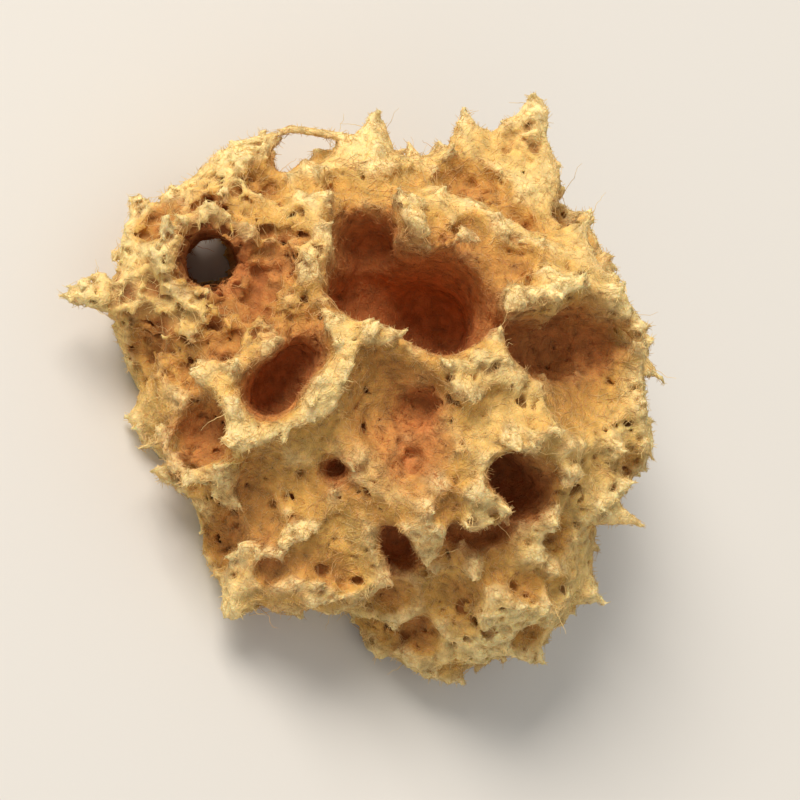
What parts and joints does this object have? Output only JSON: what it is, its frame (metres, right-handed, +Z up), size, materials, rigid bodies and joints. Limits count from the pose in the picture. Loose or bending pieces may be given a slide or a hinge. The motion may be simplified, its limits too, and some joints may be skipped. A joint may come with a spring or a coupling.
{
  "type": "sea sponge",
  "caption": "Natural sea sponge with ragged ridges and rounded canal openings, cut flat underneath to rest on.",
  "frame": {"origin": "on the flat cut base, under the middle of the mass", "axes": "+Z up from the base; -Y towards the side with the most openings"},
  "size_m": [0.0452, 0.0447, 0.0245],
  "materials": {
    "spongin": "matt, dry, fibrous"
  },
  "bodies": {
    "root": {"sponge": "spongin"}
  },
  "joints": []
}
